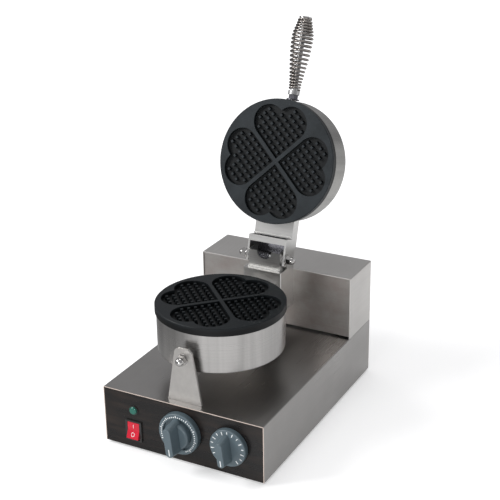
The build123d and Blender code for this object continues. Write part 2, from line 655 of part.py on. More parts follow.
def terminal_room(depth):
    """Cut round the heater's terminals, from the heater's level down."""
    half = HEATER_GAP / 2 + 4 * TERMINAL_R
    reach = 2 * HEATER_ROD + 2
    return block(HEATER_R - reach, HEATER_R + reach, -half, half, -HEATER_LEVEL - depth, -HEATER_LEVEL)


def plate_clamp():
    """Steel disc that presses the heater to the plate."""
    clamp = disc(CLAMP_R, -CLAMP_LEVEL - CLAMP_T, -CLAMP_LEVEL) - terminal_room(TERMINAL_H)
    for x, y in stud_places():
        clamp -= disc(STUD_R + SCREW_SLACK, -CLAMP_LEVEL - 2 * CLAMP_T, -CLAMP_LEVEL + 1, x, y)
    return clamp


def drum(height):
    """Steel drum open towards the plate, under the plate's rim."""
    cup = disc(DRUM_R, -PLATE_T - height, -PLATE_T)
    cup = fillet(cup.edges().group_by(Axis.Z)[0], FOLD_R)
    cup -= disc(DRUM_R - DRUM_WALL, DRUM_WALL - PLATE_T - height, 1)
    for x, y in stud_places():
        cup -= disc(STUD_R + SCREW_SLACK, -PLATE_T - height - 1, 2 * DRUM_WALL - PLATE_T - height, x, y)
    return cup


def insulation(height, bolt_side):
    """Ceramic fibre disc between the drum's floor and the clamp, cut away at the wall's bolt."""
    bottom, top = DRUM_WALL - PLATE_T - height, -CLAMP_LEVEL - CLAMP_T
    body = disc(DRUM_R - DRUM_WALL - FIBRE_SLACK, bottom, top) - terminal_room(TERMINAL_H + 4)
    for x, y in stud_places():
        body -= disc(STUD_R + SCREW_SLACK, bottom - 1, top + 1, x, y)
    wall = bolt_side * DRUM_R
    return body - block(-NUT_FLATS, NUT_FLATS, wall, wall - bolt_side * 2 * NUT_FLATS, bottom - 1, top + 1)


def plate_screws(height):
    """Hex screws through the drum's floor, the insulation and the clamp into the plate."""
    floor = -PLATE_T - height
    screw = Pos(0, 0, -4) * hexagon(10.0, 4) + disc(STUD_R - 0.02, 0, height - SPIGOT_H + STUD_BITE - 1)
    return [Pos(x, y, floor) * screw for x, y in stud_places()]


def thermostat_bulb():
    """Capillary bulb against the underside of the plate, inside the heater ring."""
    return along_x(BULB_R, -BULB_L / 2, BULB_L / 2, -BULB_BACK, -PLATE_T - SPIGOT_H - BULB_R - SEAT)


def lower_place(shape):
    """Place a piece of the lower iron."""
    return Pos(0, PLATE_Y, PLATE_Z) * shape


def upper_place(shape):
    """Turn a piece over, face down, and place it in the lid."""
    return on_lid(Pos(0, -ARM_REACH, LID_FACE) * Rot(X=180) * shape)


def lower_drum():
    """Lower drum with the bolt hole of its front stay and a wire hole at the back."""
    cup = drum(LOWER_DRUM_H)
    cup -= along_y(M8_R + SCREW_SLACK, -DRUM_R - 2, -DRUM_R + 6, 0, STAY_BOLT_Z - PLATE_Z)
    wires = -PLATE_T - ARM_LOW_DROP - ARM_LOW_H / 2
    return lower_place(cup - along_y(WIRE_R, DRUM_R - 6, DRUM_R + 2, 0, wires))


def upper_drum():
    """Upper drum with the handle's hole and a wire hole inside the lid arm."""
    cup = drum(UPPER_DRUM_H)
    root = Pos(0, DRUM_R, -HANDLE_LEVEL) * Rot(X=-HANDLE_TILT) * Rot(X=90)
    cup -= root * Cylinder(M8_R + SCREW_SLACK, 20)
    wires = -(ARM_WEB + ARM_BACK) / 2
    return upper_place(cup - along_y(WIRE_R, -DRUM_R - 2, -DRUM_R + 6, 0, wires))


# Lid arm, drawn round the hinge axis with the lid closed
def heel():
    """The two heel corners that land on the post when the lid is open."""
    turn = radians(OPEN_ANGLE)
    z = POST_TOP_Z - HINGE_Z + HEEL_GAP
    return [(y * cos(turn) - z * sin(turn), y * sin(turn) + z * cos(turn)) for y in (HEEL_FROM, HEEL_TO)]


def arm_profile(outline, x0, x1):
    """Prism between two places across the lid arm, from its outline in Y and Z."""
    return Plane(origin=(x0, 0, 0), x_dir=(0, 1, 0), z_dir=(1, 0, 0)) * extrude(outline, x1 - x0)


def lid_arm():
    """Side plates with heels, strap bar and web of the lid arm in one welded piece."""
    front, web, back = (level + LID_FACE for level in (ARM_FRONT, ARM_WEB, ARM_BACK))
    tail, strap = ARM_REACH - DRUM_R + ARM_LAP, STRAP_FROM + STRAP_H
    side = Polyline(
        (-strap, front), (0, front), *heel(), (-ARM_SHOULDER, back), (-tail, back), (-tail, web),
        (-strap, web), close=True,
    )
    end = Circle(ARM_END_R) & (Pos(0, ARM_END_R + front) * Rectangle(4 * ARM_END_R, 2 * ARM_END_R))
    profile = make_face(side) + end
    pieces = []
    for x in (-HALF_ARM, HALF_ARM - ARM_T):
        pieces.append(arm_profile(profile, x, x + ARM_T))
    pieces.append(block(-HALF_ARM, HALF_ARM, -strap, -STRAP_FROM, front, front + ARM_T))
    edge = -strap - 0.6
    pieces.append(block(-HALF_ARM, HALF_ARM, -tail, edge, web, web + ARM_SHEET))
    pieces.append(block(-HALF_ARM, HALF_ARM, edge - ARM_SHEET, edge, web - WEB_LIP, web + ARM_SHEET))
    arm = joined(pieces) - disc(DRUM_R + SEAT, front - 1, back + 1, 0, -ARM_REACH)
    return on_lid(arm - Rot(Y=90) * Cylinder(M8_R + PIN_FIT, 2 * ARM_W))


def end_flap(half, back):
    """Flap that closes the cover's end along the slanted edge of the arm's side plates."""
    shoulder, foot = Vector(-ARM_SHOULDER, back), Vector(*heel()[1])
    down = (foot - shoulder).normalized()
    inward = Vector(down.Y, -down.X) * ARM_SHEET
    corners = [shoulder, shoulder + down * ARM_FLAP, shoulder + down * ARM_FLAP + inward, shoulder + inward]
    outline = make_face(Polyline(*[(corner.X, corner.Y) for corner in corners], close=True))
    return arm_profile(outline, -half, half)


def lid_arm_cover():
    """Cover over the wires between the arm's side plates, with a flap at its hinge end."""
    back = ARM_BACK + LID_FACE
    half, tail = HALF_ARM - ARM_T - SEAT, ARM_REACH - DRUM_R + ARM_LAP
    cover = block(-half, half, -tail, -ARM_SHOULDER, back - ARM_SHEET, back) + end_flap(half, back)
    for side in (-1, 1):
        edge = side * half
        cover += block(edge, edge - side * ARM_SHEET, -tail, -STRAP_FROM - STRAP_H, back - FLANGE, back)
    return on_lid(cover - disc(DRUM_R + SEAT, 0, back + 1, 0, -ARM_REACH))


# Handle, drawn along +Z from the upper drum's wall
def on_handle(shape):
    """Place a piece of the handle."""
    root = Pos(0, -ARM_REACH - DRUM_R, LID_FACE + HANDLE_LEVEL)
    return on_lid(root * Rot(X=90 - HANDLE_TILT) * shape)


def rod_bore(z0, z1):
    """Bore of a piece that sits on the handle's rod."""
    return disc(M8_R + SEAT, z0, z1)


def coil_radius(share):
    """Radius of the coil's centre line at a share of its length."""
    if share < COIL_PEAK:
        return COIL_END_R + (COIL_MID_R - COIL_END_R) * sin(pi / 2 * share / COIL_PEAK) ** 2
    return COIL_TIP_R + (COIL_MID_R - COIL_TIP_R) * cos(pi / 2 * (share - COIL_PEAK) / (1 - COIL_PEAK)) ** 2


def coil_height(share):
    """Height of the coil's centre line, its turns closer at both ends."""
    run = share - COIL_OPENS * sin(2 * pi * share) / (2 * pi)
    return COIL_FROM + COIL_WIRE + (COIL_LENGTH - 2 * COIL_WIRE) * run


def handle_coil():
    """Open wire coil that keeps the hand cool."""
    return on_handle(spiral_wire(COIL_WIRE, half_turns(2 * COIL_TURNS, coil_radius, coil_height)))


def handle_rod():
    """Rod from inside the drum to the coil's free end."""
    return on_handle(disc(M8_R, -HANDLE_INSIDE, COIL_FROM + COIL_LENGTH - 1))


def handle_collar():
    """Stepped collar that seats the coil's first turns."""
    body = disc(COIL_END_R + COLLAR_LIP, COIL_FROM - COLLAR_H, COIL_FROM)
    body += disc(COIL_END_R - COIL_WIRE - 0.1, COIL_FROM, COIL_FROM + COLLAR_H)
    return on_handle(body - rod_bore(0, COIL_FROM + 2 * COLLAR_H))


def handle_nut():
    """Hex nut and its washer between the drum and the collar."""
    washer = disc(WASHER_R + 1.5, WASHER_T, 2 * WASHER_T)
    nut = Pos(0, 0, 2 * WASHER_T) * hexagon(NUT_FLATS, COIL_FROM - COLLAR_H - 2 * WASHER_T)
    return on_handle(washer + nut - rod_bore(0, COIL_FROM))


def handle_lock_nut():
    """Nut on the rod's inner end, inside the drum."""
    nut = Pos(0, 0, 0.5 - HANDLE_INSIDE) * hexagon(NUT_FLATS, NUT_H - 1.5)
    return on_handle(nut - rod_bore(-2 * HANDLE_INSIDE, 0))


def handle_end():
    """Turned end piece that closes the coil's free end."""
    top = COIL_FROM + COIL_LENGTH
    cap = disc(COIL_TIP_R, top, top + TIP_H)
    cap = fillet(cap.edges().group_by(Axis.Z)[-1], TIP_H / 2)
    body = cap + disc(COIL_TIP_R - COIL_WIRE - 0.1, top - COLLAR_H, top)
    return on_handle(body - rod_bore(top - 2 * COLLAR_H, top - 1 + SEAT))


# Front stay
def front_stay():
    """Tapered stay from the cabinet to the front of the lower drum, its foot inside."""
    foot, top, under = STAY_FOOT_W / 2, STAY_TOP_W / 2, TOP_Z - SHEET
    crown = STAY_BOLT_Z + STAY_CROWN
    outline = Polyline(
        (-foot, under - STAY_T), (foot, under - STAY_T), (foot, TOP_Z), (top, crown),
        (-top, crown), (-foot, TOP_Z), close=True,
    )
    back = STAY_Y + STAY_T
    stay = extrude(Plane(origin=(0, back, 0), x_dir=(1, 0, 0), z_dir=(0, -1, 0)) * make_face(outline), STAY_T)
    stay = fillet(stay.edges().filter_by(Axis.Y).group_by(Axis.Z)[-1], STAY_CORNER)
    stay += block(-foot, foot, STAY_Y, STAY_Y + STAY_FOOT, under - STAY_T, under)
    return stay - along_y(M8_R + SCREW_SLACK, STAY_Y - 1, back + 1, 0, STAY_BOLT_Z)


def stay_bolt():
    """Bolt through the drum's wall and the stay, its head inside the drum."""
    wall = PLATE_Y + SEAT - sqrt((DRUM_R - DRUM_WALL) ** 2 - NUT_FLATS ** 2 / 3)
    head = Pos(0, wall, STAY_BOLT_Z) * Rot(X=-90) * hexagon(NUT_FLATS, 5.3)
    return along_y(M8_R, STAY_Y - WASHER_T - NUT_H, wall, 0, STAY_BOLT_Z) + head


def stay_spacer():
    """Sleeve between the stay and the drum."""
    y0, y1 = STAY_Y + STAY_T, PLATE_Y - DRUM_R + SPACER_R / 2
    sleeve = along_y(SPACER_R, y0, y1, 0, STAY_BOLT_Z)
    sleeve -= along_y(M8_R + SEAT, y0 - 1, y1 + 1, 0, STAY_BOLT_Z)
    return sleeve - disc(DRUM_R + SEAT, STAY_BOLT_Z - 2 * SPACER_R, STAY_BOLT_Z + 2 * SPACER_R, 0, PLATE_Y)


def stay_nut():
    """Domed nut with its washer on the face of the stay."""
    nut = disc(WASHER_R, 0, WASHER_T) + Pos(0, 0, WASHER_T) * acorn_nut()
    nut -= disc(M8_R + SEAT, -1, NUT_H + WASHER_T + SEAT)
    return Pos(0, STAY_Y, STAY_BOLT_Z) * Rot(X=90) * nut


# Controls, drawn along +Z from the panel's face
def lamp_lens():
    """Green domed lens of the indicator lamp."""
    lens = disc(LAMP_R - 1.2, 1.2, 3.6)
    return facing_front(fillet(lens.edges().group_by(Axis.Z)[-1], 2.0), LAMP_X, LAMP_Z)


def lamp_body():
    """Lamp housing with its bezel ring and the barrel behind the panel."""
    return facing_front(disc(LAMP_R, 0, 1.2) + disc(LAMP_BARREL_R, -26, 0), LAMP_X, LAMP_Z)


def rocker_place(shape):
    """Place a piece drawn round the rocker's pivot."""
    return Pos(ROCKER_X, ROCKER_AXIS, FOOT_H + ROCKER_Z) * shape


def rocker():
    """Rocker drawn with its upper end pressed, that tips about its middle."""
    half = ROCKER_L / 2
    proud = BEZEL_T + half * sin(radians(ROCKER_TILT)) + ROCKER_AXIS
    outline = Polyline(
        (half, -2), (0, -1), (-half, -2), (-half, proud), (0, proud - 2.4), (half, proud), close=True,
    )
    face = Plane(origin=(-ROCKER_W / 2, 0, 0), x_dir=(0, 0, 1), z_dir=(1, 0, 0)) * make_face(outline)
    reach = ROCKER_W / 2 + TRUNNION_L
    body = extrude(face, ROCKER_W) + along_x(TRUNNION_R, -reach, reach, 0, 0)
    return rocker_place(Rot(X=-ROCKER_TILT) * body)


def rocker_housing():
    """Switch body with its frame, open for the rocker, and three blade terminals."""
    half_w, half_l = switch_body_size()
    frame = fillet(Box(BEZEL_W, BEZEL_L, BEZEL_T).edges().filter_by(Axis.Z), 1.5)
    body = Pos(0, 0, BEZEL_T / 2) * frame + block(-half_w, half_w, -half_l, half_l, -SWITCH_DEPTH, 0)
    half = ROCKER_W / 2 + ROCKER_SLACK
    body -= block(-half, half, -half_l + 0.7, half_l - 0.7, -SWITCH_DEPTH / 2, 2 * BEZEL_T)
    for level in (-8, 0, 8):
        body += block(-3.2, 3.2, level - 0.4, level + 0.4, -SWITCH_DEPTH - 8, -SWITCH_DEPTH)
    reach = ROCKER_W / 2 + TRUNNION_L + 0.1
    body -= along_x(TRUNNION_R + SHAFT_FIT, -reach, reach, 0, -ROCKER_AXIS)
    return facing_front(body, ROCKER_X, ROCKER_Z)


def knob(radius, thickness, reach, width):
    """Dial with a skirt, a bar grip and its shaft."""
    top = KNOB_GAP + thickness
    skirt = fillet(disc(radius, KNOB_GAP, top).edges().group_by(Axis.Z)[-1], thickness / 5)
    length = 2 * (radius - GRIP_RIM)
    foot = Pos(0, 0, KNOB_GAP + 3) * SlotOverall(length, width, rotation=90)
    face = SlotOverall(length - 2 * GRIP_LEAN, width - 2 * GRIP_THIN, rotation=90)
    bar = loft([foot, Pos(0, 0, reach) * face], ruled=True)
    bar = fillet(bar.edges().group_by(Axis.Z)[-1], 0.8)
    return skirt, bar + disc(SHAFT_R, -SHAFT_DEPTH, KNOB_GAP + 4)


def timer_knob():
    """Timer dial: its scale ring stands round a sunk ring, a hub and a bar grip."""
    skirt, bar = knob(TIMER_R, TIMER_T, TIMER_REACH, TIMER_GRIP_W)
    skirt -= disc(TIMER_RING_R, KNOB_GAP + TIMER_T - 4, KNOB_GAP + 2 * TIMER_T)
    hub = disc(TIMER_HUB_R, KNOB_GAP + 1, TIMER_HUB_H)
    hub = fillet(hub.edges().group_by(Axis.Z)[-1], 3.0)
    return facing_front(Rot(Z=DIAL_TURN) * (skirt + hub + bar), TIMER_X, TIMER_Z)


def thermostat_knob():
    """Thermostat dial: a skirt with a scale, and a bar grip."""
    skirt, bar = knob(THERMO_R, THERMO_T, THERMO_REACH, THERMO_GRIP_W)
    return facing_front(Rot(Z=DIAL_TURN) * (skirt + bar), THERMO_X, THERMO_Z)


def control_body(x, z, width, height, depth):
    """Boxed mechanism behind the panel, with a threaded nose and a bore for its shaft."""
    behind = FILM + SHEET
    body = block(-width / 2, width / 2, -height / 2, height / 2, -behind - depth, -behind)
    body = fillet(body.edges().filter_by(Axis.Z), 3.0)
    bore = disc(SHAFT_R + SHAFT_FIT, -SHAFT_DEPTH - 0.5, 2)
    return facing_front(body + disc(NOSE_R, -behind, 0.6) - bore, x, z)


def timer_body():
    """Clockwork timer."""
    return control_body(TIMER_X, TIMER_Z, 44.0, 44.0, 34.0)


def thermostat_body():
    """Capillary thermostat."""
    return control_body(THERMO_X, THERMO_Z, 42.0, 36.0, 28.0)


# Supply, at the cabinet's back
def cable_gland():
    """Gland for the supply cord, through the cabinet's back."""
    z = FOOT_H + GLAND_Z
    outside = Pos(GLAND_X, BASE_D, z) * Rot(X=-90) * hexagon(2.4 * GLAND_R, 5)
    cap = along_y(GLAND_R, BASE_D, BASE_D + GLAND_REACH, GLAND_X, z)
    cap = fillet(cap.edges().group_by(Axis.Y)[-1], 2.0)
    nose = along_y(GLAND_R, BASE_D - 12, BASE_D, GLAND_X, z)
    return outside + cap + nose - along_y(CORD_R, BASE_D - 20, BASE_D + 20, GLAND_X, z)


def gland_nut():
    """Nut that holds the gland from inside."""
    z, y = FOOT_H + GLAND_Z, BASE_D - SHEET
    nut = Pos(GLAND_X, y, z) * Rot(X=90) * hexagon(2.4 * GLAND_R, 5)
    return nut - along_y(GLAND_R + SEAT, y - 8, y + 1, GLAND_X, z)


def terminal_block():
    """Ceramic block where the supply cord's cores end, on the bottom plate."""
    z0, y = FOOT_H + 2 * SHEET, BASE_D - 60
    body = block(GLAND_X - 24, GLAND_X + 24, y - 10, y + 10, z0, z0 + 20)
    for x in (GLAND_X - 16, GLAND_X, GLAND_X + 16):
        body -= along_y(2.6, y - 11, y + 11, x, z0 + 8)
        body -= disc(2.4, z0 + 8, z0 + 21, x, y)
    return body


def earth_stud():
    """Earth stud through the cabinet's back, its nut outside."""
    z = FOOT_H + GLAND_Z
    nut = Pos(EARTH_X, BASE_D, z) * Rot(X=-90) * hexagon(10.0, 5)
    return along_y(STUD_R, BASE_D - 14, BASE_D + 10, EARTH_X, z) + nut


def parts():
    """Every node by name."""
    return {
        "base_shell": base_shell(),
        "front_panel": front_panel(),
        "front_overlay": front_overlay(),
        "bottom_plate": bottom_plate(),
        "feet": feet(),
        "foot_screws": foot_screws(),
        "bottom_screws": bottom_screws(),
        "rear_cover": rear_cover(),
        "rear_screws": rear_screws(),
        "rear_front_panel": rear_front_panel(),
        "post": post(),
        "post_screws": post_screws(),
        "lower_arm": lower_arm(),
        "hinge_bracket": hinge_bracket(),
        "hinge_pin": hinge_pin(),
        "hinge_nuts": hinge_nuts(),
        "hinge_washers": hinge_washers(),
        "hinge_sleeve": hinge_sleeve(),
        "hinge_spring": hinge_spring(),
        "lower_plate": lower_place(cast_plate()),
        "lower_heater": lower_place(plate_heater()),
        "lower_clamp": lower_place(plate_clamp()),
        "lower_plate_screws": group(lower_place(screw) for screw in plate_screws(LOWER_DRUM_H)),
        "lower_drum": lower_drum(),
        "lower_insulation": lower_place(insulation(LOWER_DRUM_H, -1)),
        "thermostat_bulb": lower_place(thermostat_bulb()),
        "upper_plate": upper_place(cast_plate()),
        "upper_heater": upper_place(plate_heater()),
        "upper_clamp": upper_place(plate_clamp()),
        "upper_plate_screws": group(upper_place(screw) for screw in plate_screws(UPPER_DRUM_H)),
        "upper_drum": upper_drum(),
        "upper_insulation": upper_place(insulation(UPPER_DRUM_H, 1)),
        "lid_arm": lid_arm(),
        "lid_arm_cover": lid_arm_cover(),
        "handle_rod": handle_rod(),
        "handle_nut": handle_nut(),
        "handle_lock_nut": handle_lock_nut(),
        "handle_collar": handle_collar(),
        "handle_coil": handle_coil(),
        "handle_end": handle_end(),
        "front_stay": front_stay(),
        "stay_bolt": stay_bolt(),
        "stay_spacer": stay_spacer(),
        "stay_nut": stay_nut(),
        "lamp_lens": lamp_lens(),
        "lamp_body": lamp_body(),
        "rocker_housing": rocker_housing(),
        "rocker": rocker(),
        "timer_knob": timer_knob(),
        "timer_body": timer_body(),
        "thermostat_knob": thermostat_knob(),
        "thermostat_body": thermostat_body(),
        "cable_gland": cable_gland(),
        "gland_nut": gland_nut(),
        "terminal_block": terminal_block(),
        "earth_stud": earth_stud(),
    }


def plain(shape):
    """Shape as one solid, or as a plain group of solids."""
    solids = shape.solids()
    return solids[0] if len(solids) == 1 else group(solids)


pieces = {name: plain(shape) for name, shape in parts().items()}
boxes = [piece.bounding_box() for piece in pieces.values()]
MIDDLE_Y = (min(box.min.Y for box in boxes) + max(box.max.Y for box in boxes)) / 2
print("footprint centre behind the control panel", MIDDLE_Y)
os.makedirs("parts", exist_ok=True)
for name, piece in pieces.items():
    export_step(Pos(0, -MIDDLE_Y, 0) * piece, f"parts/{name}.step")
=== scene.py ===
"""Heart waffle maker in Blender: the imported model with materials, dial marks, floor, lights and camera."""
import json
from math import cos, pi, radians, sin

import bpy
from mathutils import Matrix, Vector


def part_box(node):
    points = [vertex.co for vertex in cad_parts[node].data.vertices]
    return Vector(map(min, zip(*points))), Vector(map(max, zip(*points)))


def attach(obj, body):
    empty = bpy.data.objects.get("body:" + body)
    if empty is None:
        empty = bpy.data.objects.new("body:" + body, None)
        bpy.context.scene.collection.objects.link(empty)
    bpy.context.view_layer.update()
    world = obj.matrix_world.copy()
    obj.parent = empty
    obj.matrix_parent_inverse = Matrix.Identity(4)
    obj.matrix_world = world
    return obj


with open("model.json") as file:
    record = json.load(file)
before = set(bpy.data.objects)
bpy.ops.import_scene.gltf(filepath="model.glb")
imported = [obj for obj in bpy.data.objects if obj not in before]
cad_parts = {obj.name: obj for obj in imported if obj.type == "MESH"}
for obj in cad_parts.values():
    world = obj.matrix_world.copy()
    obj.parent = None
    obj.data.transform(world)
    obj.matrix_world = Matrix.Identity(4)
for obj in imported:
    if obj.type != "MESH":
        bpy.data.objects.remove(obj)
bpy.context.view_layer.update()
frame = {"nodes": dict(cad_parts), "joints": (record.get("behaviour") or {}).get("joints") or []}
NODES = frame["nodes"]
SCENE = bpy.context.scene
SCENE.view_settings.view_transform = "Standard"

# Places from the model, in metres
PANEL_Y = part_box("front_overlay")[0][1]
HINGE = Vector(next(j["pos_m"] for j in frame["joints"] if j["name"] == "lid_hinge"))
TIMER = Vector(next(j["pos_m"] for j in frame["joints"] if j["name"] == "timer_turn"))
THERMO = Vector(next(j["pos_m"] for j in frame["joints"] if j["name"] == "thermostat_turn"))
ROCKER = Vector(next(j["pos_m"] for j in frame["joints"] if j["name"] == "switch_tilt"))
OPEN_ANGLE = radians(106.5)
PLATE_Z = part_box("lower_plate")[1][2]
PLATE_GAP = 0.0006
PLATE_RECESS = 0.006

# Marks on the controls: how far a face stands before the panel, and where its print lies on it
POINTER_ANGLE = pi - radians(7)
TIMER_RING_FRONT = 0.010
TIMER_GRIP_FRONT = 0.036
TIMER_SCALE_START = -150
TIMER_SCALE_STEP = 7.2
TIMER_SCALE_MARKS = 43
TIMER_LONG_MARK_EVERY = 5
THERMO_SKIRT_FRONT = 0.009
THERMO_GRIP_FRONT = 0.030
THERMO_SCALE_START = -140
THERMO_SCALE_STEP = 20
THERMO_SCALE_MARKS = 15
ROCKER_HALF = 0.012
ROCKER_TILT = radians(-11)
ROCKER_CROWN = 0.0024
ROCKER_AXIS_DEPTH = 0.0025
SWITCH_FRAME_FRONT = 0.0022
PRINT_THICKNESS = 0.00012


# Camera
def add_camera():
    """Camera of the photograph: place, turn, lens and framing."""
    data = bpy.data.cameras.new("photo_camera")
    data.lens = 83.06
    data.sensor_width = 36.0
    data.shift_x = -0.04
    data.shift_y = -0.05
    data.clip_start = 0.05
    data.clip_end = 60.0
    camera = bpy.data.objects.new("photo_camera", data)
    SCENE.collection.objects.link(camera)
    turn, rise, roll = radians(27.14), radians(21.12), radians(-0.47)
    back = Vector((sin(turn) * cos(rise), -cos(turn) * cos(rise), sin(rise)))
    right = Vector((cos(turn), sin(turn), 0.0))
    up = back.cross(right)
    side = right * cos(roll) + up * sin(roll)
    top = up * cos(roll) - right * sin(roll)
    matrix = Matrix((side, top, back)).transposed().to_4x4()
    matrix.translation = (0.72587, PANEL_Y - 1.14935, 0.87074)
    camera.matrix_world = matrix
    SCENE.camera = camera


# Materials, whose grain and noise are counted in periods per metre
GRAIN_ACROSS = 900.0
GRAIN_ALONG = 6.0


class Paint:
    """A node material built step by step around one Principled shader."""

    def __init__(self, name, colour, roughness, metallic=0.0, **sockets):
        self.material = bpy.data.materials.new(name)
        self.material.use_nodes = True
        self.tree = self.material.node_tree
        self.shader = self.tree.nodes["Principled BSDF"]
        self.shader.inputs["Base Color"].default_value = (*colour, 1.0)
        self.shader.inputs["Roughness"].default_value = roughness
        self.shader.inputs["Metallic"].default_value = metallic
        for socket, value in sockets.items():
            self.shader.inputs[socket.replace("_", " ").title().replace("Ior", "IOR")].default_value = value

    def node(self, kind, **settings):
        """New node; a setting is a property, or an input socket if there is no such property."""
        made = self.tree.nodes.new(kind)
        for key, value in settings.items():
            if hasattr(made, key):
                setattr(made, key, value)
            else:
                made.inputs[key.replace("_", " ")].default_value = value
        return made

    def link(self, a, b):
        self.tree.links.new(a, b)

    def place(self, scale, turn=(0.0, 0.0, 0.0), shift=(0.0, 0.0, 0.0)):
        """Object coordinates, moved, turned and scaled."""
        coordinates = self.node("ShaderNodeTexCoord")
        moved = self.node("ShaderNodeVectorMath", operation="ADD")
        moved.inputs[1].default_value = shift
        turned = self.node("ShaderNodeVectorRotate", rotation_type="EULER_XYZ")
        turned.inputs["Rotation"].default_value = turn
        scaled = self.node("ShaderNodeVectorMath", operation="MULTIPLY")
        scaled.inputs[1].default_value = scale
        self.link(coordinates.outputs["Object"], moved.inputs[0])
        self.link(moved.outputs[0], turned.inputs["Vector"])
        self.link(turned.outputs[0], scaled.inputs[0])
        return scaled.outputs[0]

    def noise(self, place, detail=2.0, roughness=0.5):
        """Noise of period about 1 in the given coordinates."""
        made = self.node("ShaderNodeTexNoise", Scale=1.0, Detail=detail, Roughness=roughness)
        self.link(place, made.inputs["Vector"])
        return made.outputs["Fac"]

    def ramp(self, value, low, high, a, b):
        """Map a value's range to two numbers."""
        made = self.node("ShaderNodeMapRange")
        for index, number in enumerate((low, high, a, b), 1):
            made.inputs[index].default_value = number
        self.link(value, made.inputs[0])
        return made.outputs[0]

    def blend(self, share, a, b):
        """Mix two colours; each is a colour or a socket."""
        made = self.node("ShaderNodeMix", data_type="RGBA")
        self.link(share, made.inputs[0])
        for index, value in ((6, a), (7, b)):
            if isinstance(value, tuple):
                made.inputs[index].default_value = (*value, 1.0)
            else:
                self.link(value, made.inputs[index])
        return made.outputs[2]

    def math(self, operation, a, b):
        """Arithmetic on sockets and numbers."""
        made = self.node("ShaderNodeMath", operation=operation)
        for index, value in enumerate((a, b)):
            if isinstance(value, (int, float)):
                made.inputs[index].default_value = value
            else:
                self.link(value, made.inputs[index])
        return made.outputs[0]

    def bump(self, height, strength, distance):
        made = self.node("ShaderNodeBump", Strength=strength, Distance=distance)
        self.link(height, made.inputs["Height"])
        self.link(made.outputs[0], self.shader.inputs["Normal"])

    def colour(self, socket):
        self.link(socket, self.shader.inputs["Base Color"])

    def rough(self, socket):
        self.link(socket, self.shader.inputs["Roughness"])


def tinted(colour, factor):
    """Colour scaled by a factor."""
    return tuple(channel * factor for channel in colour)


def face_share(paint, axis):
    """How much a face looks along an axis, from 0 to 1, in the piece's own frame."""
    coordinates = paint.node("ShaderNodeTexCoord")
    split = paint.node("ShaderNodeSeparateXYZ")
    paint.link(coordinates.outputs["Normal"], split.inputs[0])
    return paint.ramp(paint.math("ABSOLUTE", split.outputs[axis], 0), 0.4, 0.8, 0.0, 1.0)


def sheet_steel(name, colour, roughness, reflection_blotch_share=0.0, reflection_blotch_colour=None, edge_highlight=None):
    """Brushed sheet: grain along Y on the top and the sides, and along X on the front and the back.

    The last arguments: share and colour of blotches painted in as reflections, and colour of a highlight
    painted on the faces and cut edges that look to the front.
    """
    paint = Paint(name, colour, roughness, metallic=1.0)
    lengthwise = paint.noise(paint.place((GRAIN_ACROSS, GRAIN_ALONG, GRAIN_ACROSS)), 3.0, 0.6)
    crosswise = paint.noise(paint.place((GRAIN_ALONG, GRAIN_ACROSS, GRAIN_ACROSS)), 3.0, 0.6)
    facing = face_share(paint, 1)
    grain = paint.node("ShaderNodeMix", data_type="FLOAT")
    paint.link(facing, grain.inputs[0])
    paint.link(lengthwise, grain.inputs[2])
    paint.link(crosswise, grain.inputs[3])
    grain = grain.outputs[0]
    cloud = paint.noise(paint.place((9.0, 9.0, 9.0)), 3.0, 0.6)
    shade = paint.blend(paint.ramp(grain, 0.3, 0.7, 0.0, 1.0), tinted(colour, 0.93), tinted(colour, 1.06))
    shade = paint.blend(paint.ramp(cloud, 0.35, 0.7, 0.0, 0.6), shade, tinted(colour, 0.82))
    if edge_highlight:
        # Painted highlight: faces that look to the front, the cut edges among them, take a lighter colour
        # and a less metallic finish.
        coordinates = paint.node("ShaderNodeTexCoord")
        split = paint.node("ShaderNodeSeparateXYZ")
        paint.link(coordinates.outputs["Normal"], split.inputs[0])
        edge_highlight_share = paint.ramp(split.outputs[1], -0.9, -0.6, 1.0, 0.0)
        shade = paint.blend(edge_highlight_share, shade, edge_highlight)
        paint.link(paint.ramp(edge_highlight_share, 0.0, 1.0, 1.0, 0.2), paint.shader.inputs["Metallic"])
    # Painted reflection: darker pinkish blotches spread by noise, standing in for the surroundings mirrored
    # in the steel.
    if reflection_blotch_share:
        reflection_blotches = paint.ramp(paint.noise(paint.place((22.0, 22.0, 26.0)), 4.0, 0.65), 0.45, 0.75, 0.0, reflection_blotch_share)
        shade = paint.blend(reflection_blotches, shade, reflection_blotch_colour)
    paint.colour(shade)
    paint.rough(paint.math("ADD", paint.ramp(grain, 0.25, 0.75, roughness - 0.03, roughness + 0.03),
                           paint.ramp(cloud, 0.3, 0.7, -0.03, 0.03)))
    paint.bump(grain, 0.06, 0.00005)
    return paint.material


def turned_steel(name, colour, roughness, turn, shift):
    """Turned drum: fine rings round its axis, which the turn and the shift bring to Z, and dark bands
    painted in as reflections.
    """
    paint = Paint(name, colour, roughness, metallic=1.0)
    rings = paint.noise(paint.place((0.6, 0.6, GRAIN_ACROSS), turn, shift), 3.0, 0.65)
    # Painted reflection: dark vertical bands round the drum, standing in for the surroundings mirrored in
    # it.
    reflection_bands = paint.noise(paint.place((55.0, 55.0, 1.5), turn, shift), 3.0, 0.55)
    shade = paint.blend(paint.ramp(rings, 0.35, 0.65, 0.0, 1.0), tinted(colour, 0.92), tinted(colour, 1.1))
    paint.colour(paint.blend(paint.ramp(reflection_bands, 0.4, 0.65, 0.0, 0.8), shade, tinted(colour, 0.7)))
    paint.rough(paint.ramp(rings, 0.3, 0.7, roughness - 0.05, roughness + 0.05))
    paint.bump(rings, 0.5, 0.0001)
    return paint.material


